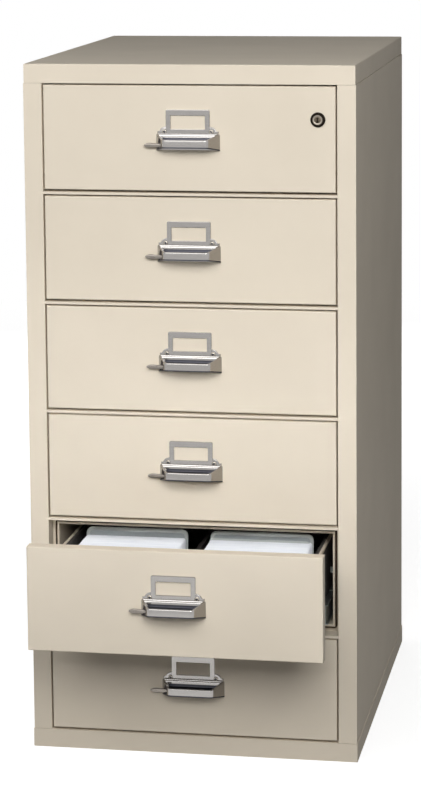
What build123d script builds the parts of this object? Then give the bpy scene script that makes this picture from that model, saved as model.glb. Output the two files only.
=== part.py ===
"""Six-drawer fire-insulated card file cabinet, in millimetres.

The origin is on the floor under the middle of the body. +X is to the right, +Y to the rear and +Z up.
Depths are measured from the body's front face towards the rear. Heights in a drawer are measured up from
the bottom edge of its head, or down from the top edge where a name ends in _DOWN.
The fifth drawer from the top stands open by REST_OPEN, as in the photograph.
"""

from build123d import *
import os

# Cabinet body
BODY_W = 636.0
BODY_D = 802.0
CABINET_H = 1340.0
SHEET = 1.5
CAP_H = 36.7
BASE_H = 35.7
LEDGE = 1.2  # the cap stands this far inside the body's faces, and the base this far outside
SEAM = 0.6  # gap between the cap or base and the side sheets
FRONT_Y = -BODY_D / 2
REAR_Y = BODY_D / 2
FIT = 0.2  # gap between the insulation and the sheet round it

# Front frame: stiles, rails between the drawers and the stepped heat seal
DRAWERS = 6
STILE_W = 35.5
RAIL_H = 5.0
REBATE_DEPTH = 36.0
REBATE_STEP = 10.0
LINER_LIP = 4.0
LIP_FORWARD = 8.0
OPEN_W = BODY_W - 2 * STILE_W
OPEN_TOP = CABINET_H - CAP_H
PITCH = (OPEN_TOP - BASE_H + RAIL_H) / DRAWERS
OPEN_H = PITCH - RAIL_H
LINER_INSET = REBATE_STEP + LINER_LIP
LINER_HALF_W = OPEN_W / 2 - LINER_INSET
LINER_END = 748.0

# Drawer head: an outer shell and a plug that enters the liner
GAP_UNDER = 4.4
GAP_OVER = 3.3
GAP_BESIDE = 3.0
HEAD_W = OPEN_W - 2 * GAP_BESIDE
HEAD_H = OPEN_H - GAP_UNDER - GAP_OVER
SHELL_DEPTH = 26.0
HEAD_DEPTH = 62.0
PLUG_GAP = 4.0
PLUG_HALF_W = LINER_HALF_W - PLUG_GAP
PLUG_INSET = LINER_INSET - GAP_UNDER + PLUG_GAP
HEAD_CORNER = 2.0

# Drawer tray, with double-skinned sides
TRAY_HALF_W = 252.0
TRAY_END = 717.0
TRAY_WALL = 12.0
TRAY_SKIN = 1.2
FLOOR_UP = 30.0
SIDE_UP = 158.0
BACK_UP = 150.0
DIVIDER_W = 8.0
DIVIDER_UP = 140.0

# Telescopic slides, one each side of a drawer
TRAVEL = 620.0
REST_OPEN = 190.0
OPEN_DRAWER = 5
SLIDE_UP = 43.0
SLIDE_SHEET = 1.5
RAIL_SPAN = (70.0, 710.0)
MID_SPAN = (72.0, 708.0)
RUNNER_SPAN = (68.0, 704.0)

# Pull with its label frame, cast in one piece
FRAME_HALF_W = 43.5
FRAME_TOP_DOWN = 45.0
WINDOW_HALF_W = 33.0
WINDOW_TOP_DOWN = 56.0
WINDOW_BOTTOM_DOWN = 82.0
FLARE_DOWN = 74.0
PLATE_T = 2.5
HOOD_HALF_W = 61.0
HOOD_TOP_DOWN = 91.0
HOOD_BOTTOM_DOWN = 122.0
LIP_HALF_W = 42.0
LIP_TOP_DOWN = 99.0
LIP_BOTTOM_DOWN = 114.5
PULL_OUT = 37.0
PULL_WALL = 3.5
TROUGH_START = 6.5
TROUGH_DOWN = 102.5
HOLLOW_DOWN = 105.0
SCREW_X = 44.6
SCREW_DOWN = 86.6
SCREW_HOLE_R = 2.7
SCREW_R = 2.5
SCREW_HEAD_R = 4.6
SCREW_HEAD_H = 2.4
SCREW_LENGTH = 8.0

# Thumb latch
THUMB_TRAVEL = 7.0
THUMB_TOP_DOWN = 107.5
THUMB_BOTTOM_DOWN = 116.5
THUMB_OUT = (7.5, 12.5)
THUMB_ARM_X = (-66.0, -40.0)
THUMB_TIP_X = -83.0
PADDLE_DOWN = (105.5, 119.0)
STEM_X = (-52.0, -40.0)
SLIDER_X = (-62.0, -30.0)
SLIDER_DOWN = (98.0, 121.0)
SLIDER_DEPTH = (3.5, 7.5)

# Lock in the top drawer, and the bar that it lifts
LOCK_X = 246.5
LOCK_DOWN = 62.0
LOCK_BEZEL_R = 14.0
LOCK_BEZEL_OUT = 4.0
LOCK_BARREL_R = 9.5
LOCK_BARREL_END = 38.0
LOCK_FACE_R = 9.4
LOCK_FACE_OUT = 6.0
LOCK_SHAFT_R = 6.15
LOCK_CLEAR = 0.05
CAM_DEPTH = (44.0, 48.0)
CAM_REACH = 29.0
CAM_W = 10.0
BAR_X = (272.8, 275.8)
BAR_WINDOW = (-26.0, -6.4)
BAR_DEPTH = (39.0, 76.0)
BAR_Z = (60.0, 1285.0)
TAB_X = 258.0
TAB_DEPTH = (70.0, 76.0)
TAB_UP = (100.0, 112.0)
LUG_DEPTH = (78.0, 88.0)
LUG_UP = (113.5, 125.0)
LUG_X = 262.0

# Packs of 203 x 127 mm cards in the open drawer
CARD_W = 203.0
CARD_H = 127.0
GUIDE_H = 141.0
CARD_SIDE = 22.0
CARD_DEPTH = (66.0, 274.0)
CARD_LEAN = 26.0


def slab(x, y, z, mode=Mode.ADD):
    """Adds or cuts a rectangular block, given by its ranges along the three axes."""
    centre = tuple((low + high) / 2 for low, high in (x, y, z))
    size = tuple(high - low for low, high in (x, y, z))
    with Locations(centre):
        Box(*size, mode=mode)


def pair(low, high):
    """The two mirrored X ranges of a piece that stands on both sides of the cabinet."""
    return ((low, high), (-high, -low))


def depth(start, end, forward=0.0):
    """The Y range between two depths, moved forward where a drawer stands open."""
    return (FRONT_Y + start - forward, FRONT_Y + end - forward)


def opening_bottom(drawer):
    """Height of the lower edge of a drawer's opening, where drawer 1 is the top one."""
    return BASE_H + (DRAWERS - drawer) * PITCH


def head_bottom(drawer):
    return opening_bottom(drawer) + GAP_UNDER


def head_top(drawer):
    return head_bottom(drawer) + HEAD_H


def rest_open(drawer):
    """How far a drawer stands open at rest."""
    return REST_OPEN if drawer == OPEN_DRAWER else 0.0


def above(drawer, low, high):
    """The Z range between two heights over a drawer head's bottom edge."""
    return (head_bottom(drawer) + low, head_bottom(drawer) + high)


def below(drawer, high_down, low_down):
    """The Z range between two distances under a drawer head's top edge."""
    return (head_top(drawer) - low_down, head_top(drawer) - high_down)


# Cabinet body


def top_cap():
    """Folded lid: a top sheet with four skirts, a little smaller than the body at the sides and back."""
    half_w = BODY_W / 2 - LEDGE
    with BuildPart() as cap:
        slab((-half_w, half_w), (FRONT_Y, REAR_Y - LEDGE), (CABINET_H - CAP_H, CABINET_H))
        fillet(cap.edges().group_by(Axis.Z)[-1], 2.5)
        inner_w = half_w - SHEET
        slab(
            (-inner_w, inner_w),
            (FRONT_Y + SHEET, REAR_Y - LEDGE - SHEET),
            (CABINET_H - CAP_H, CABINET_H - SHEET),
            Mode.SUBTRACT,
        )
    return cap.part


def base_pan():
    """Folded base: a bottom sheet with four skirts that stand just outside the body."""
    half_w = BODY_W / 2 + LEDGE
    with BuildPart() as base:
        slab((-half_w, half_w), (FRONT_Y - LEDGE, REAR_Y + LEDGE), (0, BASE_H))
        fillet(base.edges().filter_by(Axis.Z), 1.5)
        inner_w = half_w - SHEET
        slab(
            (-inner_w, inner_w),
            (FRONT_Y - LEDGE + SHEET, REAR_Y + LEDGE - SHEET),
            (SHEET, BASE_H),
            Mode.SUBTRACT,
        )
    return base.part


def outer_wrap():
    """The two sides and the back, bent from one sheet."""
    half_w = BODY_W / 2
    bottom, top = BASE_H + SEAM, OPEN_TOP - SEAM
    with BuildPart() as wrap:
        slab((-half_w, half_w), (FRONT_Y + SHEET, REAR_Y), (bottom, top))
        fillet(wrap.edges().filter_by(Axis.Z).group_by(Axis.Y)[-1], 3.0)
        slab(
            (-half_w + SHEET, half_w - SHEET),
            (FRONT_Y, REAR_Y - SHEET),
            (bottom, top),
            Mode.SUBTRACT,
        )
    return wrap.part


def stile(outer, inner):
    """One upright of the front frame: its face, its return along the drawer edges and the step behind them."""
    side = 1 if outer > 0 else -1
    bottom, top = BASE_H + SEAM, OPEN_TOP - SEAM
    step = inner - side * (REBATE_STEP - FIT)

    def between(a, b):
        return (min(a, b), max(a, b))

    with BuildPart() as upright:
        slab(between(inner, outer), depth(0, SHEET), (bottom, top))
        slab(between(inner, inner + side * SHEET), depth(0, REBATE_DEPTH + SHEET), (bottom, top))
        slab(
            between(step, inner + side * SHEET),
            depth(REBATE_DEPTH, REBATE_DEPTH + SHEET),
            (bottom, top),
        )
        face_edges = upright.edges().filter_by(Axis.Z).group_by(Axis.Y)[0]
        fillet(face_edges, 0.6)
    return upright.part


def cross_rail(centre_z, up=True, down=True):
    """A rail of the frame between two openings: a narrow face, its returns and the steps behind them."""
    half = RAIL_H / 2
    step_reach = half + REBATE_STEP - FIT
    step_half_w = OPEN_W / 2 - REBATE_STEP + FIT
    with BuildPart() as rail:
        slab((-OPEN_W / 2, OPEN_W / 2), depth(0, SHEET), (centre_z - half, centre_z + half))
        for sign, wanted in ((1, up), (-1, down)):
            if not wanted:
                continue
            low, high = sorted((sign * (half - SHEET), sign * half))
            slab(
                (-OPEN_W / 2, OPEN_W / 2),
                depth(0, REBATE_DEPTH),
                (centre_z + low, centre_z + high),
            )
            low, high = sorted((sign * (half - SHEET), sign * step_reach))
            slab(
                (-step_half_w, step_half_w),
                depth(REBATE_DEPTH, REBATE_DEPTH + SHEET),
                (centre_z + low, centre_z + high),
            )
    return rail.part


def front_frame():
    """Two stiles, five rails between the drawers, and the sill and header behind the base and the cap."""
    solids = [stile(side * BODY_W / 2, side * OPEN_W / 2) for side in (1, -1)]
    for drawer in range(1, DRAWERS):
        solids += [cross_rail(opening_bottom(drawer) - RAIL_H / 2)]
    half = RAIL_H / 2
    with BuildPart() as sill:
        add(cross_rail(BASE_H - half, up=True, down=False))
        slab((-OPEN_W, OPEN_W), depth(-1, SHEET + FIT), (0, BASE_H), Mode.SUBTRACT)
    with BuildPart() as header:
        add(cross_rail(OPEN_TOP + half, up=False, down=True))
        slab((-OPEN_W, OPEN_W), depth(-1, SHEET + FIT), (OPEN_TOP, CABINET_H), Mode.SUBTRACT)
    solids += [sill.part, header.part]
    return Compound(children=solids)


def liner(drawer):
    """One steel compartment, open at the front, whose thick front lip stands forward of the frame's step."""
    low = opening_bottom(drawer) + LINER_INSET
    high = opening_bottom(drawer) + OPEN_H - LINER_INSET
    lip = LINER_LIP
    with BuildPart() as box:
        slab(
            (-LINER_HALF_W - SHEET, LINER_HALF_W + SHEET),
            depth(REBATE_DEPTH - LIP_FORWARD, LINER_END + SHEET),
            (low - SHEET, high + SHEET),
        )
        slab(
            (-LINER_HALF_W - lip, LINER_HALF_W + lip),
            depth(REBATE_DEPTH - LIP_FORWARD, REBATE_DEPTH + SHEET),
            (low - lip, high + lip),
        )
        slab(
            (-LINER_HALF_W, LINER_HALF_W),
            depth(0, LINER_END),
            (low, high),
            Mode.SUBTRACT,
        )
        front_edges = box.edges().group_by(Axis.Y)[0]
        fillet(front_edges, 1.0)
        slot_x = (LINER_HALF_W - 1, LINER_HALF_W + lip + 1)
        if drawer == 1:
            axis_z = head_top(1) - LOCK_DOWN
            slab(slot_x, depth(42, 52), (axis_z - 22, axis_z + 8), Mode.SUBTRACT)
        else:
            slab(slot_x, depth(68, 78), above(drawer, TAB_UP[0] - 2, TAB_UP[1] + 14), Mode.SUBTRACT)
    return box.part


def compartment_liners():
    return Compound(children=[liner(drawer) for drawer in range(1, DRAWERS + 1)])


def clear_cap():
    """Cuts the insulation back at the sides and the rear, where the cap's skirts come down round it."""
    inner = BODY_W / 2 - LEDGE - SHEET - FIT
    z = (OPEN_TOP - 1, CABINET_H)
    for x in pair(inner, BODY_W):
        slab(x, depth(-1, BODY_D), z, Mode.SUBTRACT)
    slab((-BODY_W, BODY_W), depth(BODY_D - LEDGE - SHEET - FIT, BODY_D), z, Mode.SUBTRACT)


def insulation_body():
    """Cast insulation round the compartments: sides, rear, top, bottom, shelves and the blocks in front."""
    wall = LINER_HALF_W + SHEET + FIT
    outer = BODY_W / 2 - SHEET - FIT
    frame_inner = OPEN_W / 2 + SHEET + FIT
    behind_frame = REBATE_DEPTH + SHEET + FIT
    rear_start = LINER_END + SHEET + FIT
    rear_end = BODY_D - SHEET - FIT
    bottom, top = SHEET + FIT, CABINET_H - SHEET - FIT
    low_liner = opening_bottom(DRAWERS) + LINER_INSET - SHEET - FIT
    high_liner = opening_bottom(1) + OPEN_H - LINER_INSET + SHEET + FIT
    solids = []
    front = depth(SHEET + FIT, behind_frame - FIT)
    side = depth(behind_frame, rear_end)
    middle = depth(behind_frame, rear_start)
    blocks = (
        ((-outer, -wall), side, (bottom, top)),
        ((-outer, -frame_inner), front, (bottom, top)),
        ((frame_inner, outer), front, (bottom, top)),
        ((-wall, wall), depth(rear_start, rear_end), (bottom, top)),
        ((-wall, wall), middle, (high_liner, top)),
        ((-wall, wall), middle, (bottom, low_liner)),
        ((-frame_inner, frame_inner), front, (OPEN_TOP + SHEET + FIT, top)),
        ((-frame_inner, frame_inner), front, (bottom, BASE_H - SHEET - FIT)),
    )
    for x, y, z in blocks:
        with BuildPart() as block:
            slab(x, y, z)
            clear_cap()
        solids += [block.part]
    with BuildPart() as right:
        slab((wall, outer), side, (bottom, top))
        slab((wall, wall + 7.5), depth(behind_frame, 80), (50, 1300), Mode.SUBTRACT)
        clear_cap()
    solids += [right.part]
    for drawer in range(1, DRAWERS):
        rail_z = opening_bottom(drawer) - RAIL_H / 2
        half = RAIL_H / 2 + LINER_INSET - SHEET - FIT
        with BuildPart() as shelf:
            slab((-wall, wall), middle, (rail_z - half, rail_z + half))
        solids += [shelf.part]
    return Compound(children=solids)


def channel(x_web, x_lip, z_half, centre_z, y):
    """A slide member: a web and two flanges that point from x_web to x_lip."""
    side = 1 if x_lip > x_web else -1
    low, high = sorted((x_web, x_lip))
    web = sorted((x_web, x_web + side * SLIDE_SHEET))
    with BuildPart() as member:
        slab(web, y, (centre_z - z_half, centre_z + z_half))
        for sign in (1, -1):
            edges = sorted((centre_z + sign * z_half, centre_z + sign * (z_half - SLIDE_SHEET)))
            slab((low, high), y, edges)
    return member.part


def fixed_rails():
    """The outer member of every slide, screwed to the liners."""
    solids = []
    for drawer in range(1, DRAWERS + 1):
        centre_z = head_bottom(drawer) + SLIDE_UP
        for side in (1, -1):
            solids += [channel(side * LINER_HALF_W, side * 256, 23, centre_z, depth(*RAIL_SPAN))]
    return Compound(children=solids)


def mid_rails(drawer):
    """The middle members of a drawer's two slides, which travel half as far as the drawer."""
    centre_z = head_bottom(drawer) + SLIDE_UP
    y = depth(*MID_SPAN, forward=rest_open(drawer) / 2)
    solids = []
    for low, high in pair(255.5, 265.5):
        web_middle = 260.25 if low > 0 else -260.25
        with BuildPart() as member:
            half_t = SLIDE_SHEET / 2
            slab((web_middle - half_t, web_middle + half_t), y, (centre_z - 19, centre_z + 19))
            for sign in (1, -1):
                flange = sorted((centre_z + sign * 19, centre_z + sign * 17.5))
                slab((low, high), y, flange)
        solids += [member.part]
    return Compound(children=solids)


def runners(drawer):
    """The inner members of a drawer's two slides, screwed to the tray's sides."""
    centre_z = head_bottom(drawer) + SLIDE_UP
    y = depth(*RUNNER_SPAN, forward=rest_open(drawer))
    solids = []
    for side in (1, -1):
        solids += [channel(side * TRAY_HALF_W, side * 258.5, 14, centre_z, y)]
    return Compound(children=solids)


# Drawers


def bore(x, y, z, radius):
    """Cuts a round hole along Y, given its middle and its range of Y."""
    with Locations((x, (y[0] + y[1]) / 2, z)):
        Cylinder(radius, y[1] - y[0], rotation=(90, 0, 0), mode=Mode.SUBTRACT)


def head_fittings(drawer):
    """Cuts what passes through a drawer head's front sheet: the pull's screws, the latch and the lock."""
    through = depth(-1, SHEET + 1, rest_open(drawer))
    for x in (SCREW_X, -SCREW_X):
        bore(x, through, head_top(drawer) - SCREW_DOWN, SCREW_HOLE_R)
    if drawer == 1:
        bore(LOCK_X, through, head_top(1) - LOCK_DOWN, LOCK_BARREL_R + 0.2)
    slab(
        (STEM_X[0] - 1, STEM_X[1] + THUMB_TRAVEL + 1),
        through,
        below(drawer, THUMB_TOP_DOWN - 1, THUMB_BOTTOM_DOWN + 1),
        Mode.SUBTRACT,
    )


def drawer_head(drawer):
    """The sheet-steel casing of a drawer head: a hollow front pan, and the plug pan welded behind it."""
    forward = rest_open(drawer)
    plug_inner = PLUG_HALF_W - SHEET
    plug_z = above(drawer, PLUG_INSET, HEAD_H - PLUG_INSET)
    plug_inner_z = above(drawer, PLUG_INSET + SHEET, HEAD_H - PLUG_INSET - SHEET)
    with BuildPart() as front_pan:
        slab((-HEAD_W / 2, HEAD_W / 2), depth(0, SHELL_DEPTH, forward), above(drawer, 0, HEAD_H))
        fillet(front_pan.edges().group_by(Axis.Y)[0], HEAD_CORNER)
        slab(
            (-HEAD_W / 2 + SHEET, HEAD_W / 2 - SHEET),
            depth(SHEET, SHELL_DEPTH - SHEET, forward),
            above(drawer, SHEET, HEAD_H - SHEET),
            Mode.SUBTRACT,
        )
        slab(
            (-plug_inner, plug_inner),
            depth(SHELL_DEPTH - SHEET - 1, SHELL_DEPTH + 1, forward),
            plug_inner_z,
            Mode.SUBTRACT,
        )
        head_fittings(drawer)
    with BuildPart() as plug_pan:
        slab((-PLUG_HALF_W, PLUG_HALF_W), depth(SHELL_DEPTH, HEAD_DEPTH, forward), plug_z)
        slab(
            (-plug_inner, plug_inner),
            depth(SHELL_DEPTH - 1, HEAD_DEPTH - SHEET, forward),
            plug_inner_z,
            Mode.SUBTRACT,
        )
        if drawer == 1:
            axis_z = head_top(1) - LOCK_DOWN
            slab(
                (PLUG_HALF_W - 3, PLUG_HALF_W + 1),
                depth(43, 52),
                (axis_z - 27, axis_z + 8),
                Mode.SUBTRACT,
            )
    return Compound(children=[front_pan.part, plug_pan.part])


def head_insulation(drawer):
    """The cast insulation inside a drawer head, with pockets for the latch and the lock."""
    forward = rest_open(drawer)
    gap = SHEET + FIT
    low, high = PLUG_INSET + gap, HEAD_H - PLUG_INSET - gap
    half_w, plug_half = HEAD_W / 2 - gap, PLUG_HALF_W - gap
    with BuildPart() as core:
        slab((-half_w, half_w), depth(gap, SHELL_DEPTH - gap, forward), above(drawer, gap, HEAD_H - gap))
        slab((-plug_half, plug_half), depth(gap, HEAD_DEPTH - gap, forward), above(drawer, low, high))
        slab((-68, 68), depth(0, 14, forward), below(drawer, 78, 126), Mode.SUBTRACT)
        if drawer == 1:
            axis_z = head_top(1) - LOCK_DOWN
            slab((LOCK_X - 30, 290), depth(0, 61), (axis_z - 31, axis_z + 15), Mode.SUBTRACT)
    return core.part


def folded_wall(x, y, z, skin_x, skin_y):
    """A tray wall bent over double: an upside-down channel whose legs stand on the floor sheet."""
    with BuildPart() as wall:
        slab(x, y, z)
        slab(
            (x[0] + skin_x, x[1] - skin_x),
            (y[0] + skin_y, y[1] - skin_y),
            (z[0], z[1] - TRAY_SKIN),
            Mode.SUBTRACT,
        )
        top_edges = wall.edges().group_by(Axis.Z)[-1]
        fillet(top_edges, 0.8)
    return wall.part


def tray(drawer):
    """The tray behind a drawer head: a floor, two sides, a back, a lengthwise divider and the lock's lug."""
    forward = rest_open(drawer)
    floor_z = above(drawer, FLOOR_UP, FLOOR_UP + SHEET)
    standing = FLOOR_UP + SHEET
    inner = TRAY_HALF_W - TRAY_WALL
    with BuildPart() as floor:
        slab((-TRAY_HALF_W, TRAY_HALF_W), depth(HEAD_DEPTH, TRAY_END, forward), floor_z)
    solids = [floor.part]
    for x in pair(inner, TRAY_HALF_W):
        y = depth(HEAD_DEPTH, TRAY_END, forward)
        solids += [folded_wall(x, y, above(drawer, standing, SIDE_UP), TRAY_SKIN, 0)]
    back_y = depth(TRAY_END - TRAY_WALL, TRAY_END, forward)
    solids += [folded_wall((-inner, inner), back_y, above(drawer, standing, BACK_UP), 0, TRAY_SKIN)]
    divider_x = (-DIVIDER_W / 2, DIVIDER_W / 2)
    divider_y = depth(HEAD_DEPTH, TRAY_END - TRAY_WALL, forward)
    divider_z = above(drawer, standing, DIVIDER_UP)
    solids += [folded_wall(divider_x, divider_y, divider_z, TRAY_SKIN, 0)]
    if drawer > 1:
        with BuildPart() as lug:
            slab((TRAY_HALF_W, LUG_X), depth(*LUG_DEPTH, forward), above(drawer, *LUG_UP))
        solids += [lug.part]
    return Compound(children=solids)


def front_plane(drawer, out):
    """A plane parallel to a drawer's face, a distance in front of it, with X right and Y up."""
    return Plane(
        origin=(0, FRONT_Y - rest_open(drawer) - out, head_top(drawer)),
        x_dir=(1, 0, 0),
        z_dir=(0, -1, 0),
    )


def hood_section(half_w, top_down, bottom_down):
    """A rectangle on a plane parallel to the drawer's face, between two distances under the head's top."""
    with Locations((0, -(top_down + bottom_down) / 2)):
        Rectangle(2 * half_w, bottom_down - top_down)


def pull(drawer):
    """The cast pull: a label frame, flared ears for the screws, and a hood with a trough in its top."""
    with BuildPart() as casting:
        with BuildSketch(front_plane(drawer, 0)):
            with BuildLine():
                Polyline(
                    (0, -FRAME_TOP_DOWN),
                    (FRAME_HALF_W, -FRAME_TOP_DOWN),
                    (FRAME_HALF_W, -FLARE_DOWN),
                    (FRAME_HALF_W + 7, -FLARE_DOWN - 4.5),
                    (HOOD_HALF_W - 1, -HOOD_TOP_DOWN),
                    (HOOD_HALF_W - 1, -HOOD_TOP_DOWN - 6),
                    (0, -HOOD_TOP_DOWN - 6),
                )
                mirror(about=Plane.YZ)
            make_face()
        extrude(amount=PLATE_T)
        upright_edges = casting.edges().filter_by(Axis.Y)
        fillet(upright_edges.sort_by(Axis.Z)[-2:], 2.0)
        with BuildSketch(front_plane(drawer, 0)):
            hood_section(HOOD_HALF_W, HOOD_TOP_DOWN, HOOD_BOTTOM_DOWN)
        with BuildSketch(front_plane(drawer, PULL_OUT)):
            hood_section(LIP_HALF_W, LIP_TOP_DOWN, LIP_BOTTOM_DOWN)
        loft(ruled=True)
        with BuildSketch(front_plane(drawer, 0)):
            with Locations((0, -(WINDOW_TOP_DOWN + WINDOW_BOTTOM_DOWN) / 2)):
                RectangleRounded(2 * WINDOW_HALF_W, WINDOW_BOTTOM_DOWN - WINDOW_TOP_DOWN, 1.0)
            with Locations((SCREW_X, -SCREW_DOWN), (-SCREW_X, -SCREW_DOWN)):
                Circle(SCREW_HOLE_R)
        extrude(amount=PULL_OUT, mode=Mode.SUBTRACT)
    inner_out = PULL_OUT - PULL_WALL
    draw_in = (HOOD_HALF_W - LIP_HALF_W) / PULL_OUT
    with BuildPart() as hollow:
        with BuildSketch(front_plane(drawer, -1)):
            hood_section(HOOD_HALF_W + draw_in - 4, HOLLOW_DOWN, 140)
        with BuildSketch(front_plane(drawer, inner_out)):
            hood_section(HOOD_HALF_W - draw_in * inner_out - 4, HOLLOW_DOWN, 140)
        loft(ruled=True)
    with BuildPart() as trough:
        with BuildSketch(front_plane(drawer, TROUGH_START)):
            hood_section(HOOD_HALF_W - draw_in * TROUGH_START - 6.5, 80, TROUGH_DOWN)
        with BuildSketch(front_plane(drawer, inner_out)):
            hood_section(HOOD_HALF_W - draw_in * inner_out - 6.5, 80, TROUGH_DOWN)
        loft(ruled=True)
        fillet(trough.edges().group_by(Axis.Z)[0], 2.0)
    forward = rest_open(drawer)
    with BuildPart() as finished:
        add(casting.part)
        add(hollow.part, mode=Mode.SUBTRACT)
        add(trough.part, mode=Mode.SUBTRACT)
        slab(
            (-80, -45),
            depth(-THUMB_OUT[1] - 1, -THUMB_OUT[0] + 1, forward),
            below(drawer, THUMB_TOP_DOWN - 1, THUMB_BOTTOM_DOWN + 1),
            Mode.SUBTRACT,
        )
    return finished.part


def pull_screws(drawer):
    """Two dome-headed screws that hold the pull to the drawer's front sheet."""
    solids = []
    for x in (SCREW_X, -SCREW_X):
        origin = (x, FRONT_Y - rest_open(drawer) - PLATE_T, head_top(drawer) - SCREW_DOWN)
        across = Plane(origin=origin, x_dir=(1, 0, 0), z_dir=(0, -1, 0))
        with BuildPart() as screw:
            with BuildSketch(across):
                Circle(SCREW_HEAD_R)
            extrude(amount=SCREW_HEAD_H)
            fillet(screw.faces().sort_by(Axis.Y)[0].edges(), 1.8)
            with BuildSketch(across):
                Circle(SCREW_R)
            extrude(amount=-SCREW_LENGTH)
            with BuildSketch(across.offset(SCREW_HEAD_H)):
                Rectangle(5.6, 1.0)
                Rectangle(1.0, 5.6)
            extrude(amount=-1.2, mode=Mode.SUBTRACT)
        solids += [screw.part]
    return Compound(children=solids)


def thumb_latch(drawer):
    """The sliding thumb piece left of the pull, with its arm, its stem through the face and its slider."""
    forward = rest_open(drawer)
    out_y = depth(-THUMB_OUT[1], -THUMB_OUT[0], forward)
    with BuildPart() as latch:
        slab(THUMB_ARM_X, out_y, below(drawer, THUMB_TOP_DOWN, THUMB_BOTTOM_DOWN))
        slab(
            STEM_X,
            depth(-THUMB_OUT[1], SLIDER_DEPTH[1], forward),
            below(drawer, THUMB_TOP_DOWN, THUMB_BOTTOM_DOWN),
        )
        slab(SLIDER_X, depth(*SLIDER_DEPTH, forward), below(drawer, *SLIDER_DOWN))
        with BuildSketch(front_plane(drawer, THUMB_OUT[0])):
            with BuildLine():
                top_z, bottom_z = -PADDLE_DOWN[0], -PADDLE_DOWN[1]
                tip_r = (top_z - bottom_z) / 2
                shoulder = THUMB_TIP_X + tip_r
                Line((THUMB_ARM_X[0], top_z), (shoulder, top_z))
                ThreePointArc((shoulder, top_z), (THUMB_TIP_X, top_z - tip_r), (shoulder, bottom_z))
                Line((shoulder, bottom_z), (THUMB_ARM_X[0], bottom_z))
                Line((THUMB_ARM_X[0], bottom_z), (THUMB_ARM_X[0], top_z))
            make_face()
        extrude(amount=THUMB_OUT[1] - THUMB_OUT[0])
        paddle_front = latch.faces().filter_by(Axis.Y).sort_by(Axis.Y)[0]
        tip_edges = paddle_front.edges().filter_by(GeomType.CIRCLE)
        fillet(tip_edges, 1.5)
    return latch.part


# Lock


def lock_plane(out):
    """A plane square to the lock's axis, a distance in front of the top drawer's face."""
    return Plane(
        origin=(LOCK_X, FRONT_Y - out, head_top(1) - LOCK_DOWN),
        x_dir=(1, 0, 0),
        z_dir=(0, -1, 0),
    )


def lock_housing():
    """The lock's bezel and barrel, with a stepped bore for the plug."""
    with BuildPart() as housing:
        with BuildSketch(lock_plane(0)):
            Circle(LOCK_BEZEL_R)
        extrude(amount=LOCK_BEZEL_OUT)
        chamfer(housing.faces().sort_by(Axis.Y)[0].edges(), 1.5)
        with BuildSketch(lock_plane(0)):
            Circle(LOCK_BARREL_R)
        extrude(amount=-LOCK_BARREL_END)
        with BuildSketch(lock_plane(0)):
            Circle(LOCK_FACE_R + LOCK_CLEAR)
        extrude(amount=LOCK_BEZEL_OUT, mode=Mode.SUBTRACT)
        with BuildSketch(lock_plane(0)):
            Circle(LOCK_SHAFT_R + LOCK_CLEAR)
        extrude(amount=-LOCK_BARREL_END, mode=Mode.SUBTRACT)
    return housing.part


def lock_plug():
    """The turning plug: its face with a keyway, its shaft, and the cam that points down when unlocked."""
    with BuildPart() as plug:
        with BuildSketch(lock_plane(0)):
            Circle(LOCK_FACE_R)
        extrude(amount=LOCK_FACE_OUT)
        fillet(plug.faces().sort_by(Axis.Y)[0].edges(), 0.8)
        with BuildSketch(lock_plane(0)):
            Circle(LOCK_SHAFT_R)
        extrude(amount=-CAM_DEPTH[1])
        with BuildSketch(lock_plane(LOCK_FACE_OUT)):
            Rectangle(1.8, 8.5)
            with Locations((1.0, 1.5)):
                Rectangle(2.2, 1.6)
        extrude(amount=-8, mode=Mode.SUBTRACT)
        with BuildSketch(lock_plane(-CAM_DEPTH[0])):
            Circle(LOCK_SHAFT_R + 3)
            with Locations((0, -(CAM_REACH - CAM_W / 2) / 2)):
                Rectangle(CAM_W, CAM_REACH - CAM_W / 2)
            with Locations((0, -(CAM_REACH - CAM_W / 2))):
                Circle(CAM_W / 2)
        extrude(amount=-(CAM_DEPTH[1] - CAM_DEPTH[0]))
    return plug.part


def lock_bar():
    """The upright bar in the right wall: the lock lifts it, and its welded tabs then stand before the lugs."""
    axis_z = head_top(1) - LOCK_DOWN
    with BuildPart() as bar:
        slab(BAR_X, depth(*BAR_DEPTH), BAR_Z)
        slab(
            (BAR_X[0] - 1, BAR_X[1] + 1),
            depth(43, 51.5),
            (axis_z + BAR_WINDOW[0], axis_z + BAR_WINDOW[1]),
            Mode.SUBTRACT,
        )
    solids = [bar.part]
    for drawer in range(2, DRAWERS + 1):
        with BuildPart() as tab:
            slab((TAB_X, BAR_X[0]), depth(*TAB_DEPTH), above(drawer, *TAB_UP))
        solids += [tab.part]
    return Compound(children=solids)


# Contents of the open drawer


def card_pack(x_low):
    """One row of cards standing in the open drawer, with taller guide cards that lean back behind them."""
    front_y, rear_y = depth(*CARD_DEPTH, forward=REST_OPEN)
    floor_z = head_bottom(OPEN_DRAWER) + FLOOR_UP + SHEET
    with BuildPart() as pack:
        with BuildSketch(Plane.YZ.offset(x_low)):
            with BuildLine():
                Polyline(
                    (front_y, floor_z),
                    (front_y, floor_z + CARD_H - 6),
                    (rear_y - 14, floor_z + CARD_H),
                    (rear_y - 6, floor_z + GUIDE_H),
                    (rear_y, floor_z + GUIDE_H - 1),
                    (rear_y - CARD_LEAN, floor_z),
                    close=True,
                )
            make_face()
        extrude(amount=CARD_W)
    return pack.part


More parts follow.
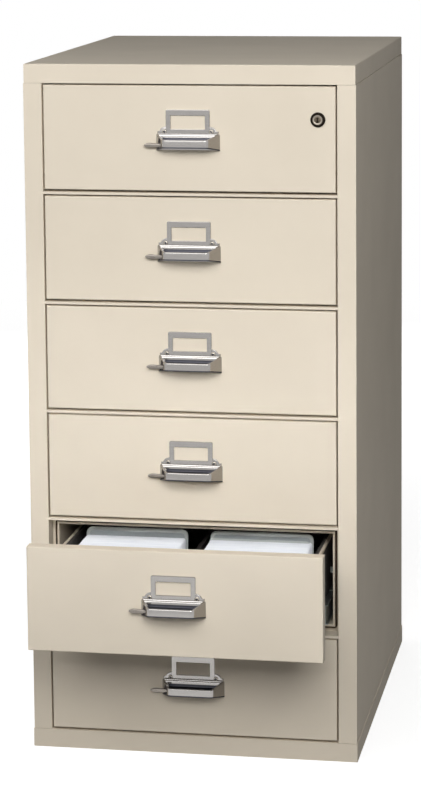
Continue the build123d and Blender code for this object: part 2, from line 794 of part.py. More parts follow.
def parts():
    """Every sub-part, by the name of its node."""
    made = {
        "top_cap": top_cap(),
        "outer_wrap": outer_wrap(),
        "base_pan": base_pan(),
        "front_frame": front_frame(),
        "insulation_body": insulation_body(),
        "compartment_liners": compartment_liners(),
        "fixed_rails": fixed_rails(),
        "lock_housing": lock_housing(),
        "lock_plug": lock_plug(),
        "lock_bar": lock_bar(),
        "card_pack_left": card_pack(-CARD_SIDE - CARD_W),
        "card_pack_right": card_pack(CARD_SIDE),
    }
    for drawer in range(1, DRAWERS + 1):
        name = f"drawer_{drawer}"
        made[f"{name}_head"] = drawer_head(drawer)
        made[f"{name}_insulation"] = head_insulation(drawer)
        made[f"{name}_tray"] = tray(drawer)
        made[f"{name}_pull"] = pull(drawer)
        made[f"{name}_pull_screws"] = pull_screws(drawer)
        made[f"{name}_thumb_latch"] = thumb_latch(drawer)
        made[f"{name}_runners"] = runners(drawer)
        made[f"{name}_mid_rails"] = mid_rails(drawer)
    return made


os.makedirs("parts", exist_ok=True)
for node, shape in parts().items():
    shape.label = node
    export_step(shape, f"parts/{node}.step")
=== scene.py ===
"""Looks of a six-drawer, fire-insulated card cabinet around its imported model.

Lengths are written in millimetres and turned to metres where a mesh is made. A drawer's fittings are drawn
in drawer coordinates: across, out from the face, and down from the top edge of the head.
"""

from math import radians

import bpy
import numpy as np
from mathutils import Matrix, Vector


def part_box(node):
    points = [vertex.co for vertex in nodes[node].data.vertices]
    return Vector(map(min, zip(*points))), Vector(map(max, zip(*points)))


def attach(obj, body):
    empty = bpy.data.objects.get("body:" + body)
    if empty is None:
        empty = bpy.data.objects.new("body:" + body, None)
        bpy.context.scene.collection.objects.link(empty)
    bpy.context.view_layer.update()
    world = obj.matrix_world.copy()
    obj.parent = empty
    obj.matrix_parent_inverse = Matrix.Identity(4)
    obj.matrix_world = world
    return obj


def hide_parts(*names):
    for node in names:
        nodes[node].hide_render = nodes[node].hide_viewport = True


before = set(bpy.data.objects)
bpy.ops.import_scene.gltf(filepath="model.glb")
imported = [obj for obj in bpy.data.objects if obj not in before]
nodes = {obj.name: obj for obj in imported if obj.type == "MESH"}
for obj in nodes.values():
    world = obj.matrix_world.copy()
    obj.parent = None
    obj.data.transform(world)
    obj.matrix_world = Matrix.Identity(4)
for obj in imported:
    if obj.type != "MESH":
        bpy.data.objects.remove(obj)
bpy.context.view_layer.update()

MM = 0.001
DRAWERS = range(1, 7)


# Colour and node helpers


def linear(code):
    """The linear colour of an sRGB hex value: a straight part near black, then a power of 2.4."""
    levels = np.array([int(code[i : i + 2], 16) for i in (1, 3, 5)]) / 255
    bent = np.where(levels <= 0.04045, levels / 12.92, ((levels + 0.055) / 1.055) ** 2.4)
    return (*bent.tolist(), 1.0)


def add(tree, kind, inputs=None, **settings):
    """Adds one node.

    A value in inputs is set on its socket, and a (node, socket name) pair is linked to it.
    """
    node = tree.nodes.new("ShaderNode" + kind)
    for name, value in settings.items():
        setattr(node, name, value)
    for name, value in (inputs or {}).items():
        if isinstance(value, tuple) and isinstance(value[0], bpy.types.Node):
            tree.links.new(value[0].outputs[value[1]], node.inputs[name])
        else:
            node.inputs[name].default_value = value
    return node


def new_material(name):
    """An empty node material, and the object coordinates that its patterns follow."""
    material = bpy.data.materials.new(name)
    material.use_nodes = True
    material.node_tree.nodes.clear()
    place = add(material.node_tree, "TexCoord")
    return material, material.node_tree, (place, "Object")


def finish_with(tree, shader, socket="BSDF"):
    """Links a shader to a new material output."""
    output = add(tree, "OutputMaterial")
    tree.links.new(shader.outputs[socket], output.inputs["Surface"])


def per_metre(size_mm):
    """The scale of a noise texture whose features are about this wide."""
    return 1 / (size_mm * MM)


# Materials

# Real enamel is nearer 0.5. This is far lower, because the white studio, mirrored at a flat angle, turned
# the cabinet's side grey.
ENAMEL_SPECULAR = 0.06


def even_surface(name, light, dark, roughness, peel_mm, peel_height):
    """An even colour, a very faint sheen and a fine bump.

    This is sprayed and baked enamel on sheet steel, where the bump is the orange peel of spraying. It also
    colours the dark strips in the openings and the dark wall of the pull, which are painted shade. The colour
    drifts by a shade over a hand's width. The real peel is about 1.5 mm wide, too fine to show here, so it is
    drawn peel_mm wide.
    """
    material, tree, place = new_material(name)
    drift = add(tree, "TexNoise", {"Vector": place, "Scale": per_metre(160), "Detail": 3.0})
    colour = add(tree, "ValToRGB", {"Fac": (drift, "Fac")})
    colour.color_ramp.elements[0].position, colour.color_ramp.elements[1].position = 0.3, 0.7
    colour.color_ramp.elements[0].color, colour.color_ramp.elements[1].color = linear(dark), linear(light)
    peel = add(tree, "TexNoise", {"Vector": place, "Scale": per_metre(peel_mm), "Detail": 2.0})
    bump = add(tree, "Bump", {"Height": (peel, "Fac"), "Strength": 0.5, "Distance": peel_height * MM})
    gloss = add(
        tree,
        "MapRange",
        {"Value": (peel, "Fac"), "To Min": roughness - 0.05, "To Max": roughness + 0.05},
    )
    paint = add(
        tree,
        "BsdfPrincipled",
        {
            "Base Color": (colour, "Color"),
            "Roughness": (gloss, "Result"),
            "Normal": (bump, "Normal"),
            "Specular IOR Level": ENAMEL_SPECULAR,
        },
    )
    finish_with(tree, paint)
    return material


def textured_enamel(name, light, dark):
    """Wrinkle enamel inside a drawer: dark grey with a fine grain.

    The real grain is about 1 mm wide. It is drawn 5 mm wide, so that it shows.
    """
    material, tree, place = new_material(name)
    grain = add(tree, "TexNoise", {"Vector": place, "Scale": per_metre(5), "Detail": 4.0, "Roughness": 0.7})
    colour = add(tree, "ValToRGB", {"Fac": (grain, "Fac")})
    colour.color_ramp.elements[0].position, colour.color_ramp.elements[1].position = 0.35, 0.65
    colour.color_ramp.elements[0].color, colour.color_ramp.elements[1].color = linear(dark), linear(light)
    bump = add(tree, "Bump", {"Height": (grain, "Fac"), "Strength": 0.7, "Distance": 0.6 * MM})
    paint = add(
        tree,
        "BsdfPrincipled",
        {"Base Color": (colour, "Color"), "Roughness": 0.6, "Normal": (bump, "Normal")},
    )
    finish_with(tree, paint)
    return material


def bare_metal(name, light, dark, roughness, grain_mm, stretch=(1.0, 1.0, 1.0), bump_mm=0.02):
    """Plated or polished steel: a metal whose colour and gloss wander a little along its polishing lines.

    The polishing lines are far finer than a pixel, so grain_mm draws them coarser.
    """
    material, tree, place = new_material(name)
    turned = add(tree, "Mapping", {"Vector": place, "Scale": stretch})
    grain = add(tree, "TexNoise", {"Vector": (turned, "Vector"), "Scale": per_metre(grain_mm), "Detail": 3.0})
    colour = add(tree, "ValToRGB", {"Fac": (grain, "Fac")})
    colour.color_ramp.elements[0].color, colour.color_ramp.elements[1].color = linear(dark), linear(light)
    gloss = add(
        tree,
        "MapRange",
        {"Value": (grain, "Fac"), "To Min": roughness - 0.05, "To Max": roughness + 0.06},
    )
    bump = add(tree, "Bump", {"Height": (grain, "Fac"), "Strength": 0.3, "Distance": bump_mm * MM})
    metal = add(
        tree,
        "BsdfPrincipled",
        {
            "Base Color": (colour, "Color"),
            "Metallic": 1.0,
            "Roughness": (gloss, "Result"),
            "Normal": (bump, "Normal"),
        },
    )
    finish_with(tree, metal)
    return material


def card_stock(name, light, dark):
    """Cut index card: matt white, with the faint lines of the stacked edges.

    The real lines are 0.25 mm wide. They are drawn 2 mm wide, so that they show.
    """
    material, tree, place = new_material(name)
    along = add(tree, "Mapping", {"Vector": place, "Scale": (0.02, 1.0, 0.05)})
    lines = add(tree, "TexNoise", {"Vector": (along, "Vector"), "Scale": per_metre(2), "Detail": 2.0})
    colour = add(tree, "ValToRGB", {"Fac": (lines, "Fac")})
    colour.color_ramp.elements[0].position, colour.color_ramp.elements[1].position = 0.35, 0.65
    colour.color_ramp.elements[0].color, colour.color_ramp.elements[1].color = linear(dark), linear(light)
    paper = add(
        tree,
        "BsdfPrincipled",
        {"Base Color": (colour, "Color"), "Roughness": 0.8, "Specular IOR Level": 0.2},
    )
    finish_with(tree, paper)
    return material


def cast_filling(name, light, dark):
    """Cast gypsum and cement: chalky, off-white, with pores 3 to 6 mm wide."""
    material, tree, place = new_material(name)
    pores = add(tree, "TexVoronoi", {"Vector": place, "Scale": per_metre(9), "Randomness": 1.0})
    colour = add(tree, "ValToRGB", {"Fac": (pores, "Distance")})
    colour.color_ramp.elements[0].color, colour.color_ramp.elements[1].color = linear(dark), linear(light)
    bump = add(tree, "Bump", {"Height": (pores, "Distance"), "Strength": 0.6, "Distance": 1.0 * MM})
    cast = add(
        tree,
        "BsdfPrincipled",
        {"Base Color": (colour, "Color"), "Roughness": 0.95, "Normal": (bump, "Normal")},
    )
    finish_with(tree, cast)
    return material


BODY_ENAMEL = even_surface("beige_baked_enamel", "#e6dbc9", "#e1d6c4", 0.64, 6.0, 0.10)
LINER_ENAMEL = even_surface("beige_liner_enamel", "#d8cdbb", "#cfc3b0", 0.6, 7.0, 0.15)
TRAY_ENAMEL = textured_enamel("grey_wrinkle_enamel", "#57534f", "#3a3733")
CHROME = bare_metal("satin_chrome_casting", "#a9a6a3", "#9a9794", 0.17, 3.0, (0.1, 1.0, 1.0))
# Dark metal in the pull's trough, along its walls' lower edges and in the screw recesses: painted shade for
# these hollows and undersides, and for the dark they mirror.
SHADE_METAL = bare_metal("dark_metal_painted_shade", "#4a4a50", "#36363b", 0.42, 2.0)
# The thumb piece's chrome is darker than the pull's: painted shade and reflection, for the dark it shows
# beside the pull.
LATCH_CHROME = bare_metal("darkened_chrome_latch", "#948e87", "#77716a", 0.28, 3.0, (0.2, 1.0, 1.0))
NICKEL = bare_metal("nickel_plated_steel", "#b8b2a8", "#9a948a", 0.24, 2.0)
DULL_NICKEL = bare_metal("dull_nickel_plug", "#8d867c", "#766e64", 0.42, 1.5)
WORN_BRASS = bare_metal("worn_brass_plug_face", "#5c5448", "#4a4238", 0.45, 1.5)
ZINC = bare_metal("zinc_plated_steel", "#a3a9a6", "#7d8480", 0.36, 9.0)
# A dark coat on the pull's left wall over the thumb piece's arm: painted shade for the slot there.
SLOT_DARK = even_surface("dark_wall_painted_shade", "#4c4648", "#37322f", 0.6, 2.0, 0.05)
LOCK_BLACK = even_surface("black_lock_enamel_and_slot_shade", "#241c14", "#17120d", 0.35, 3.0, 0.03)
CARD = card_stock("white_card_stock", "#f7f9fc", "#eceff5")
# On the follower plates the pale rim over a greyer sheet is painted light: the rim's pale grey is a painted
# highlight and the sheet's grey a painted shade. The guide card is the same pale grey.
PLATE_SHADE_GREY = even_surface("grey_follower_enamel_painted_shade", "#b4babd", "#a6acaf", 0.5, 4.0, 0.06)
PALE_GREY_AND_HIGHLIGHT = even_surface("pale_grey_enamel_and_painted_highlight", "#d0d5d3", "#c2c7c5", 0.5, 4.0, 0.06)
# Dark brown strips in the openings' rebates: painted shade for the corner between the liner's lip and the
# frame.
REBATE_SHADE = even_surface("dark_brown_rebate_shade", "#4d3f32", "#3a2e24", 0.7, 2.0, 0.05)
CAST = cast_filling("cast_insulation", "#d7d2c6", "#b7b1a4")

SLOT_FINISH = {
    "beige_paint": BODY_ENAMEL,
    "liner_paint": LINER_ENAMEL,
    "insulation": CAST,
    "tray_paint": TRAY_ENAMEL,
    "chrome": CHROME,
    "bright_steel": NICKEL,
    "zinc_steel": ZINC,
    "lock_black": LOCK_BLACK,
    "card": CARD,
}


def dress(node, material):
    """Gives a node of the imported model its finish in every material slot."""
    mesh = nodes[node].data
    if not mesh.materials:
        mesh.materials.append(material)
    for index in range(len(mesh.materials)):
        mesh.materials[index] = material


def slot_of(node):
    """The record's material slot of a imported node."""
    for name, slot in (
        ("_head", "beige_paint"),
        ("_insulation", "insulation"),
        ("_tray", "tray_paint"),
        ("_pull", "chrome"),
        ("_thumb_latch", "chrome"),
        ("_pull_screws", "bright_steel"),
        ("_runners", "zinc_steel"),
        ("_mid_rails", "zinc_steel"),
    ):
        if node.endswith(name):
            return slot
    fixed = {
        "insulation_body": "insulation",
        "compartment_liners": "liner_paint",
        "fixed_rails": "zinc_steel",
        "lock_bar": "zinc_steel",
        "lock_housing": "lock_black",
        "lock_plug": "bright_steel",
        "card_pack_left": "card",
        "card_pack_right": "card",
    }
    return fixed.get(node, "beige_paint")


for node in nodes:
    dress(node, SLOT_FINISH[slot_of(node)])


# Mesh helpers


def lattice(points, around=True, capped=True):
    """A closed shell from a grid of points, shaped (along, round, 3).

    Neighbours in the grid are joined by quads, round the second direction when around is true. The two ends
    are closed with one face each when capped is true, and are joined to each other otherwise.
    """
    along, round_, _ = points.shape
    index = np.arange(along * round_).reshape(along, round_)
    if around:
        index = np.concatenate([index, index[:, :1]], axis=1)
    if not capped:
        index = np.concatenate([index, index[:1]], axis=0)
    quads = np.stack([index[:-1, :-1], index[1:, :-1], index[1:, 1:], index[:-1, 1:]], axis=-1)
    faces = quads.reshape(-1, 4).tolist()
    if capped:
        faces += [list(range(round_)), list(range((along - 1) * round_, along * round_))[::-1]]
    return points.reshape(-1, 3), faces


def volume_sign(points, faces):
    """A number with the sign of the volume inside a shell: positive where the faces point outwards."""
    quads = np.array([face for face in faces if len(face) == 4])
    a, b, c, d = (points[quads[:, i]] for i in range(4))
    total = np.einsum("ij,ij->", a, np.cross(b, c)) + np.einsum("ij,ij->", a, np.cross(c, d))
    for face in faces:
        if len(face) != 4:
            fan = points[face]
            first = np.broadcast_to(fan[0], fan[1:-1].shape)
            total += np.einsum("ij,ij->", first, np.cross(fan[1:-1], fan[2:]))
    return total


def make_piece(name, shells, material, body, sharp=35.0):
    """One object from closed shells, each turned so that its faces point outwards, riding on a body."""
    points, faces, start = [], [], 0
    for shell_points, shell_faces in shells:
        if volume_sign(shell_points - shell_points.mean(0), shell_faces) < 0:
            shell_faces = [face[::-1] for face in shell_faces]
        points.append(shell_points)
        faces += [[corner + start for corner in face] for face in shell_faces]
        start += len(shell_points)
    mesh = bpy.data.meshes.new(name)
    mesh.from_pydata((np.concatenate(points) * MM).tolist(), [], faces)
    mesh.materials.append(material)
    mesh.shade_smooth()
    mesh.set_sharp_from_angle(angle=radians(sharp))
    piece = bpy.data.objects.new(name, mesh)
    bpy.context.scene.collection.objects.link(piece)
    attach(piece, body)
    return piece


def soften(corners, cut, steps=5):
    """An outline with rounded corners: each corner becomes a parabola between points cut away from it."""
    corners = np.array(corners, float)
    before, after = np.roll(corners, 1, 0) - corners, np.roll(corners, -1, 0) - corners
    cut = np.minimum(np.broadcast_to(cut, len(corners)), 0.45 * np.linalg.norm(after, axis=1))
    cut = np.minimum(cut, 0.45 * np.linalg.norm(before, axis=1))[:, None]
    start = corners + before / np.linalg.norm(before, axis=1)[:, None] * cut
    end = corners + after / np.linalg.norm(after, axis=1)[:, None] * cut
    s = np.linspace(0, 1, steps)[None, :, None]
    bent = (1 - s) ** 2 * start[:, None] + 2 * s * (1 - s) * corners[:, None] + s**2 * end[:, None]
    return bent.reshape(-1, 2)


def inset(outline, distance):
    """An outline moved inwards along the mean normal of each point's two edges."""
    tangent = np.roll(outline, -1, 0) - np.roll(outline, 1, 0)
    normal = np.stack([-tangent[:, 1], tangent[:, 0]], -1) / np.linalg.norm(tangent, axis=1)[:, None]
    area = np.einsum("i,i->", outline[:, 0], np.roll(outline[:, 1], -1)) - np.einsum(
        "i,i->", outline[:, 1], np.roll(outline[:, 0], -1)
    )
    return outline + normal * distance * np.sign(area)


def round_plate(outline, back, front, edge, both=False):
    """A plate in (across, out, down) whose outline is in (across, down).

    Ring after ring runs from the back to the front. At a rounded edge a ring moves in by edge * (1 - cos)
    as it moves out by edge * sin, over a quarter turn.
    """
    turn = np.linspace(0, np.pi / 2, 5)
    moves = [(edge * (1 - np.cos(t)), front - edge + edge * np.sin(t)) for t in turn]
    if both:
        moves = [(edge * (1 - np.cos(t)), back + edge - edge * np.sin(t)) for t in turn[::-1]] + moves
    else:
        moves = [(0.0, back)] + moves
    rings = []
    for distance, out in moves:
        ring = inset(outline, distance)
        rings.append(np.stack([ring[:, 0], np.full(len(ring), out), ring[:, 1]], -1))
    return lattice(np.array(rings))


def band(first, last, shares, depths):
    """A closed band between two outlines: one line round for each share of the way and its depth."""
    share = np.array(shares)[None, :, None]
    flat = first[:, None] * (1 - share) + last[:, None] * share
    depth = np.broadcast_to(np.array(depths), flat.shape[:2])
    return lattice(np.stack([flat[..., 0], depth, flat[..., 1]], -1), capped=False)


def on_drawer(shells, drawer):
    """Moves shells from a drawer's (across, out, down) to the part's frame.

    Drawer coordinates start in the middle of the head's front face, at its top edge.
    """
    low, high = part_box(f"drawer_{drawer}_head")
    origin = np.array([0.0, low.y / MM, high.z / MM])
    return [(origin + points * np.array([1.0, -1.0, -1.0]), faces) for points, faces in shells]


# Pull with its label frame

FRAME_HALF_W, FRAME_TOP = 42.0, 45.0
WINDOW_HALF_W, WINDOW_TOP, WINDOW_BOTTOM = 33.0, 56.0, 82.0
FRAME_OUT = 3.4
HOOD_HALF_W, LIP_HALF_W, PULL_OUT = 61.0, 42.0, 37.0
HOOD_TOP, HOOD_BOTTOM, LIP_TOP, LIP_BOTTOM = 91.0, 122.0, 99.0, 114.5
WALL = 4.2
FLOOR_DOWN, FLOOR_UNDER = 102.5, 105.5
NOTCH_OUT = (4.0, 27.0)
NOTCH_DOWN = 95.5
LINING_T, LINING_BOTTOM = 2.4, 106.6


def hood_half_width(out):
    """Half the hood's width at a distance in front of the drawer: it narrows evenly towards the lip."""
    return HOOD_HALF_W - (HOOD_HALF_W - LIP_HALF_W) * out / PULL_OUT


def label_frame():
    """The frame round the label window: a flat bar with soft edges, carried round the window's outline."""
    window = soften(
        [
            (-WINDOW_HALF_W, WINDOW_TOP),
            (WINDOW_HALF_W, WINDOW_TOP),
            (WINDOW_HALF_W, WINDOW_BOTTOM),
            (-WINDOW_HALF_W, WINDOW_BOTTOM),
        ],
        1.2,
    )
    outer_bottom = HOOD_TOP + 1
    outer = soften(
        [
            (-FRAME_HALF_W, FRAME_TOP),
            (FRAME_HALF_W, FRAME_TOP),
            (FRAME_HALF_W, outer_bottom),
            (-FRAME_HALF_W, outer_bottom),
        ],
        (3.5, 3.5, 1.0, 1.0),
    )
    across = (0.0, 0.0, 0.02, 0.05, 0.08, 0.92, 0.95, 0.98, 1.0, 1.0)
    out = (0.0, 2.9, 3.3, FRAME_OUT, FRAME_OUT, FRAME_OUT, FRAME_OUT, 3.3, 2.9, 0.0)
    return band(window, outer, across, out)


def ear(side):
    """The flared ear beside the label frame, under a screw."""
    corners = [(37, 76), (FRAME_HALF_W - 1, 76), (50.5, 79.5), (59.5, HOOD_TOP + 1), (59.5, 97), (37, 97)]
    outline = soften([(side * x, down) for x, down in corners], (1, 4, 3, 3, 1, 1))
    return round_plate(outline, 0, 2.6, 0.9)


def wall_path():
    """The plan of the hood's wall: points along its middle, the inward normal there, and the share out.

    The line runs from the drawer to the lip, along it and back, with rounded corners.
    """
    half = WALL / 2
    corner = 5.0
    slope = np.array([HOOD_HALF_W - LIP_HALF_W, PULL_OUT])
    slope = slope / np.linalg.norm(slope)
    lip_y = PULL_OUT - half
    lip_x = hood_half_width(lip_y) - half * slope[1]
    start = np.array([HOOD_HALF_W - half, 0.0])
    turn = np.array([lip_x, lip_y])
    cut = turn + (start - turn) / np.linalg.norm(start - turn) * corner
    s = np.linspace(0, 1, 9)[:, None]
    bend = (1 - s) ** 2 * cut + 2 * s * (1 - s) * turn + s**2 * (turn - [corner, 0])
    marks = np.array([0.0, NOTCH_OUT[0] - 0.1, NOTCH_OUT[0], 14.0, NOTCH_OUT[1], NOTCH_OUT[1] + 0.1, 29.0])
    side = start + (cut - start) * (marks / cut[1])[:, None]
    middle = np.stack([np.linspace(turn[0] - corner, 0, 8)[1:], np.full(7, lip_y)], -1)
    right = np.concatenate([side, bend, middle])
    path = np.concatenate([right * [-1, 1], right[-2::-1]])
    tangent = np.gradient(path, axis=0)
    tangent /= np.linalg.norm(tangent, axis=1)[:, None]
    inward = np.stack([tangent[:, 1], -tangent[:, 0]], -1)
    return path, inward, np.clip(path[:, 1] / lip_y, 0, 1)


def hood_wall():
    """The hood's outer wall: left side, lip and right side as one wall with a rounded rim.

    At each point of the plan the wall's section is a slot shape: two faces a wall's thickness apart, a half
    round on top, and a lower edge that follows the hood's underside, with a notch on the left for the thumb
    piece's arm.
    """
    path, inward, out = wall_path()
    half = WALL / 2
    top = HOOD_TOP + (LIP_TOP - HOOD_TOP) * out
    bottom = HOOD_BOTTOM + (LIP_BOTTOM - HOOD_BOTTOM) * out
    notched = (path[:, 0] < 0) & (path[:, 1] >= NOTCH_OUT[0]) & (path[:, 1] <= NOTCH_OUT[1])
    bottom = np.where(notched, NOTCH_DOWN, bottom)
    turn_angle = np.linspace(0, np.pi, 9)
    rim_in = -half * np.cos(turn_angle)
    rim_rise = half * np.sin(turn_angle)
    sideways = np.concatenate([[-half + 0.6, -half], rim_in, [half, half - 0.6]])
    level = np.concatenate([[1.0, 1.0], np.zeros(9), [1.0, 1.0]])
    lift = np.concatenate([[0.0, 0.6], rim_rise - half, [0.6, 0.0]])
    down = top[:, None] * (1 - level) + bottom[:, None] * level - lift
    flat = path[:, None] + inward[:, None] * sideways[None, :, None]
    return lattice(np.concatenate([flat, down[..., None]], -1))


def wall_foot():
    """A dark band along the wall's lower edge, painted shade: a rounded strip carried along the wall's plan.
    """
    path, inward, out = wall_path()
    half = WALL / 2 + 0.15
    bottom = HOOD_BOTTOM + (LIP_BOTTOM - HOOD_BOTTOM) * out
    section = soften([(-half, -2.2), (half, -2.2), (half, 0.4), (-half, 0.4)], 0.5, 3)
    flat = path[:, None] + inward[:, None] * section[None, :, :1]
    return lattice(np.concatenate([flat, (bottom[:, None] + section[:, 1])[..., None]], -1))


def slot_lining():
    """The dark left wall above the thumb piece's arm, painted shade: a thin slab whose top follows the wall's
    rim.
    """
    out = np.array([2.0, 31.0])
    outer = -(hood_half_width(out) + 0.15)
    top = HOOD_TOP + (LIP_TOP - HOOD_TOP) * out / PULL_OUT + 2.0
    deep, low = LINING_T, LINING_BOTTOM
    section = [[(0.0, high), (deep, high), (deep, low), (0.0, low)] for high in top]
    rows = zip(outer, out, section, strict=True)
    points = [[(x + step, y, down) for step, down in ring] for x, y, ring in rows]
    return lattice(np.array(points))


def bar_across(section):
    """A bar across the pull: each (out, down) point is carried as far as the hood is wide there."""
    out, down = section.T
    across = hood_half_width(out) - WALL / 2
    share = np.linspace(-1, 1, 3)[:, None]
    points = np.stack(
        [share * across, np.broadcast_to(out, (3, len(out))), np.broadcast_to(down, (3, len(out)))], -1
    )
    return lattice(points)


def hood_top():
    """The hood's top and trough as one bar across the pull.

    Its section runs down from the label frame over two rounded ridges with a flat between them, down the
    trough's rear wall, along its floor and back underneath. The bar ends inside the side walls, so each
    point of the section is carried as far across as the hood is wide there.
    """
    section = np.array(
        [
            (0.0, 86.0),
            (2.6, 86.0),
            (2.8, 89.6),
            (3.5, 89.0),
            (4.6, 88.9),
            (5.7, 89.4),
            (6.3, 90.4),
            (6.6, 91.4),
            (8.6, 91.9),
            (9.0, 91.6),
            (10.0, 91.3),
            (10.9, 91.7),
            (11.4, 92.6),
            (11.6, 94.0),
            (11.8, 100.0),
            (12.6, 101.8),
            (14.2, FLOOR_DOWN),
            (31.0, FLOOR_DOWN),
            (PULL_OUT - 2.0, FLOOR_DOWN),
            (PULL_OUT - 2.0, FLOOR_UNDER),
            (4.0, FLOOR_UNDER),
            (3.2, FLOOR_UNDER + 1.0),
            (3.0, HOOD_BOTTOM - 1),
            (0.0, HOOD_BOTTOM - 1),
        ]
    )
    return bar_across(section)


def trough_floor():
    """The dark inside of the trough, painted shade: a thin bar across the pull whose section follows it."""
    section = np.array(
        [
            (11.7, 96.8),
            (12.1, 97.0),
            (12.3, 100.2),
            (12.9, 101.5),
            (14.4, FLOOR_DOWN - 0.35),
            (PULL_OUT - 5.0, FLOOR_DOWN - 0.35),
            (PULL_OUT - 3.5, FLOOR_DOWN - 0.7),
            (PULL_OUT - 3.0, FLOOR_DOWN + 1.0),
            (14.0, FLOOR_DOWN + 1.0),
            (11.4, 101.8),
        ]
    )
    return bar_across(section)


SCREW_X, SCREW_DOWN = 44.6, 86.6
TURN = np.linspace(0, 2 * np.pi, 32, endpoint=False)


def turned(rings, centre, cross=0.0):
    """A turned shape in (across, out, down): each (radius, out) pair is a circle round the centre.

    Where cross is above zero, the last two circles swell four times round, as a cross recess does.
    """
    radius, out = np.array(rings).T
    swell = np.where(np.arange(len(radius)) >= len(radius) - 2, cross, 0.0)
    reach = radius[:, None] * (1 + swell[:, None] * np.cos(4 * TURN))
    across = centre[0] + reach * np.cos(TURN)
    down = centre[1] + reach * np.sin(TURN)
    return lattice(np.stack([across, np.broadcast_to(out[:, None], reach.shape), down], -1))


SCREW_DOME = [(4.5, 2.2), (4.6, 2.7), (4.45, 3.5), (4.0, 4.2), (3.3, 4.7), (2.7, 4.9), (2.4, 4.7), (1.9, 3.5)]
SCREW_RECESS = [(2.4, 3.0), (2.4, 3.6), (1.5, 3.65)]

pull_shells = [label_frame(), ear(1), ear(-1), hood_wall(), hood_top()]
screw_shells = [turned(SCREW_DOME, (side * SCREW_X, SCREW_DOWN), 0.25) for side in (-1, 1)]
# The dark metal in the screw heads' cross recesses is painted shade for the hollow.
recess_shells = [turned(SCREW_RECESS, (side * SCREW_X, SCREW_DOWN)) for side in (-1, 1)]
for drawer in DRAWERS:
    for name, shells, finish, stands_for, slot in (
        ("chrome_pull", pull_shells, CHROME, "pull", "chrome"),
        ("pull_recesses", [trough_floor(), wall_foot()], SHADE_METAL, None, "chrome"),
        ("pull_slot", [slot_lining()], SLOT_DARK, None, "chrome"),
        ("screw_heads", screw_shells, NICKEL, "pull_screws", "bright_steel"),
        ("screw_recesses", recess_shells, SHADE_METAL, None, "bright_steel"),
    ):
        piece = make_piece(f"drawer_{drawer}_{name}", on_drawer(shells, drawer), finish, f"drawer_{drawer}")
        if stands_for:
            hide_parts(f"drawer_{drawer}_{stands_for}")


# Thumb latch


def thumb_piece():
    """The thumb piece: a rounded arm that widens into a paddle with a half-round tip, all one soft plate."""
    corners = [
        (-41, 108.2),
        (-64, 108.2),
        (-69, 107.4),
        (-77, 107.6),
        (-83, 110.6),
        (-83, 113.0),
        (-77, 116.4),
        (-69, 116.4),
        (-64, 115.8),
        (-41, 115.8),
    ]
    outline = soften(corners, (1.5, 3, 3, 4, 2, 2, 4, 3, 3, 1.5))
    return round_plate(outline, 7.5, 12.5, 2.0, both=True)


def latch_stem():
    """The flat stem through the drawer's face and the slider behind it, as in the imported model."""
    shells = []
    for x, out, down in (((-52, -40), (-7.5, 12.0), (107.8, 116.2)), ((-62, -30), (-7.5, -3.5), (98, 121))):
        outline = soften([(x[0], down[0]), (x[1], down[0]), (x[1], down[1]), (x[0], down[1])], 0.8)
        shells.append(round_plate(outline, out[0], out[1], 0.4))
    return shells


latch_shells = [thumb_piece()] + latch_stem()
for drawer in DRAWERS:
    name, body = f"drawer_{drawer}_thumb_piece", f"latch_{drawer}"
    piece = make_piece(name, on_drawer(latch_shells, drawer), LATCH_CHROME, body)
    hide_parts(f"drawer_{drawer}_thumb_latch")


# Face of the lock

LOCK_X, LOCK_DOWN = 246.5, 62.0
LOCK_RIM = [(9.3, 5.6), (9.3, 6.3), (8.7, 6.8), (6.9, 6.8), (6.2, 6.4), (6.1, 5.8)]
LOCK_DISH = [(6.3, 5.7), (6.3, 6.0), (5.6, 6.2)]
KEYWAY_W, KEYWAY_H = 3.0, 5.0


def keyway():
    """The key slot: an upright oval pinched at the middle, as deep as a thin plate, on the lock's face."""
    pinch = 0.4 + 0.8 * np.abs(np.sin(TURN))
    outline = np.stack([LOCK_X + KEYWAY_W * np.cos(TURN) * pinch, LOCK_DOWN + KEYWAY_H * np.sin(TURN)], -1)
    return round_plate(outline, 6.0, 6.4, 0.05)


for name, shell, finish in (
    ("lock_rim", turned(LOCK_RIM, (LOCK_X, LOCK_DOWN)), DULL_NICKEL),
    ("lock_dish", turned(LOCK_DISH, (LOCK_X, LOCK_DOWN)), WORN_BRASS),
    # The key slot's black is painted shade for the depth of the slot.
    ("lock_keyway", keyway(), LOCK_BLACK),
):
    piece = make_piece(name, on_drawer([shell], 1), finish, "lock_plug")


# Cards in the open drawer

CARD_CORNER = 5.0
CARDS_PER_ROW = 96
CARD_T, CARD_H = 0.3, 127.0
CARD_PLAY, CARD_SHRINK = 1.2, 0.006
PLATE_CORNER = 15.0
PLATE_T = 2.0
RIM_W = 7.0
RIM_OUT = 3.2
PLATE_BACK = 4.0
LEAN = 24.0
BEHIND_CARDS = 14.0


